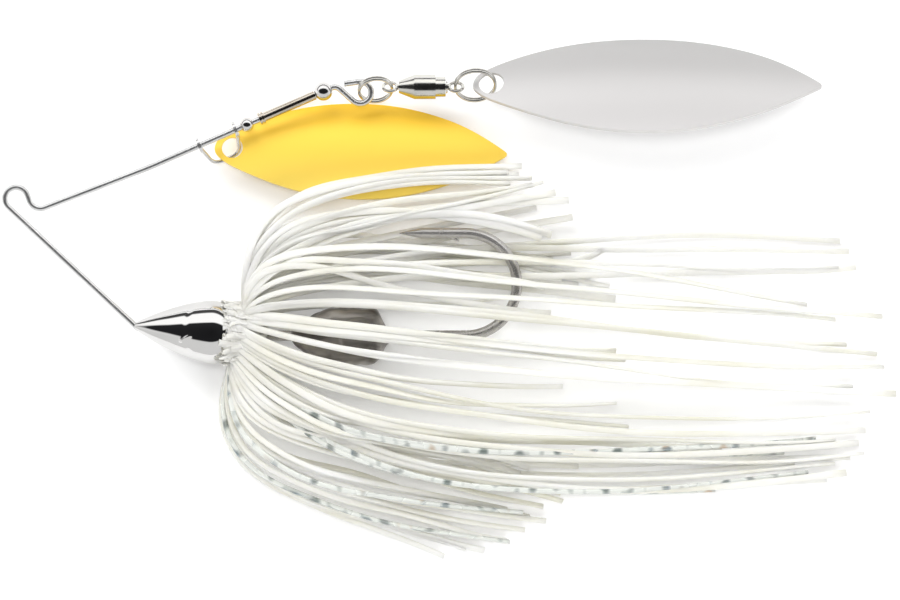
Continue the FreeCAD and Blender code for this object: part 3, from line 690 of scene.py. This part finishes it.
def make_skirt():
    rng = random.Random(SKIRT_SEED)
    for node, rows in FAMILIES.items():
        if node in FILLED:
            gaps = zip(rows[::FILL_STEP], rows[1::FILL_STEP])
            rows = rows + [between(a, b, rng) for a, b in gaps]
        name = "strands_" + node.removeprefix("skirt_")
        piece = make_family(name, rows, SKIRT, rng, WIDTHS)
        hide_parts(node)
        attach(piece, "frame")
    flash = make_family("strands_flash", FLASH, FOIL, rng, FLASH_WIDTHS)
    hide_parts("skirt_flash")
    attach(flash, "frame")
    stubs = gathered_stubs(rng)
    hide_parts("skirt_bunch")
    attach(stubs, "frame")


# --- stage ------------------------------------------------------------------------------

# Half width of the overhead flag along X and Y, as the sine of the angle from straight up; its
# edge fades out just inside.
FLAG_REACH = (0.97, 0.64)
LAMP_TARGET = (0.07, -0.02, 0)


def floor_material():
    material, tree, shader = new_material("pale_floor")
    vector = scaled_coordinates(tree)
    tone = noise(tree, vector, 8)
    tree.links.new(ramp(tree, tone, [(0.3, (0.90, 0.90, 0.90)), (0.7, (0.93, 0.93, 0.93))]),
                   shader.inputs["Base Color"])
    shader.inputs["Roughness"].default_value = 0.9
    shader.inputs["Specular IOR Level"].default_value = 0.1
    shader.inputs["Emission Color"].default_value = (1, 1, 1, 1)
    shader.inputs["Emission Strength"].default_value = 0.12
    return material


def make_floor(low):
    half = 2.0
    mesh = bpy.data.meshes.new("floor")
    corners = [(-half, -half, low), (half, -half, low), (half, half, low), (-half, half, low)]
    mesh.from_pydata(corners, [], [(0, 1, 2, 3)])
    mesh.materials.append(floor_material())
    floor = linked("floor", mesh)


def multiplied(tree, first, second, amount):
    node = tree.nodes.new("ShaderNodeMixRGB")
    node.blend_type = "MULTIPLY"
    tree.links.new(first, node.inputs["Color1"])
    tree.links.new(second, node.inputs["Color2"])
    if isinstance(amount, float):
        node.inputs["Fac"].default_value = amount
    else:
        tree.links.new(amount, node.inputs["Fac"])
    return node.outputs["Color"]


def make_world():
    """Studio dome with an oval dark flag overhead and a dark band low on the arm's side."""
    world = bpy.data.worlds.new("studio")
    bpy.context.scene.world = world
    world.use_nodes = True
    tree = world.node_tree
    background = tree.nodes["Background"]
    coordinates = tree.nodes.new("ShaderNodeTexCoord")
    mapping = tree.nodes.new("ShaderNodeMapping")
    mapping.inputs["Scale"].default_value = (1 / FLAG_REACH[0], 1 / FLAG_REACH[1], 0)
    tree.links.new(coordinates.outputs["Generated"], mapping.inputs["Vector"])
    away = tree.nodes.new("ShaderNodeVectorMath")
    away.operation = "LENGTH"
    tree.links.new(mapping.outputs["Vector"], away.inputs[0])
    flag = ramp(tree, away.outputs["Value"], [
        (0.0, (0.012, 0.012, 0.013)), (0.88, (0.02, 0.02, 0.022)), (0.96, (1, 1, 1))])
    split = tree.nodes.new("ShaderNodeSeparateXYZ")
    tree.links.new(coordinates.outputs["Generated"], split.inputs["Vector"])
    sides = span(tree, split.outputs["Y"], 0.9, 1.5, start=-0.5, end=0.5)
    horizon = ramp(tree, split.outputs["Z"], [(0.22, (0.06, 0.06, 0.06)), (0.30, (1, 1, 1))])
    arm_side = span(tree, split.outputs["Y"], 0.0, 1.0, start=0.05, end=0.2)
    shade = multiplied(tree, flag, sides, 1.0)
    shade = multiplied(tree, shade, horizon, arm_side)
    tree.links.new(shade, background.inputs["Color"])
    background.inputs["Strength"].default_value = 1.0


def area_light(name, place, size, power):
    """Soft lamp aimed at the middle of the lure, unseen in reflections."""
    light = bpy.data.lights.new(name, "AREA")
    light.shape = "RECTANGLE"
    light.size, light.size_y = size
    light.energy = power
    lamp = linked(name, light)
    lamp.location = place
    lamp.rotation_euler = (Vector(LAMP_TARGET) - Vector(place)).to_track_quat("-Z", "Y").to_euler()
    lamp.visible_glossy = False
    lamp.visible_camera = False


def make_camera(centre, width):
    lens = bpy.data.cameras.new("camera")
    lens.sensor_width = 36.0
    distance = 0.95
    lens.lens = lens.sensor_width * distance / width
    lens.clip_start = 0.01
    lens.clip_end = 10.0
    camera = linked("camera", lens)
    camera.location = (centre[0], centre[1], distance)
    bpy.context.scene.camera = camera


make_camera((0.0694, -0.0162), 0.144)
dress_nodes()
make_head()
make_collar()
make_weight()
make_skirt()
make_floor(CAD_BOX[0][2])
make_world()
area_light("key", (-0.25, 0.55, 0.55), (0.5, 0.5), 3.6)
area_light("fill", (0.45, -0.5, 0.5), (0.6, 0.4), 2.4)
area_light("top", (0.0, 0.1, 1.2), (0.35, 0.35), 5.0)
bpy.context.scene.view_settings.view_transform = "Standard"
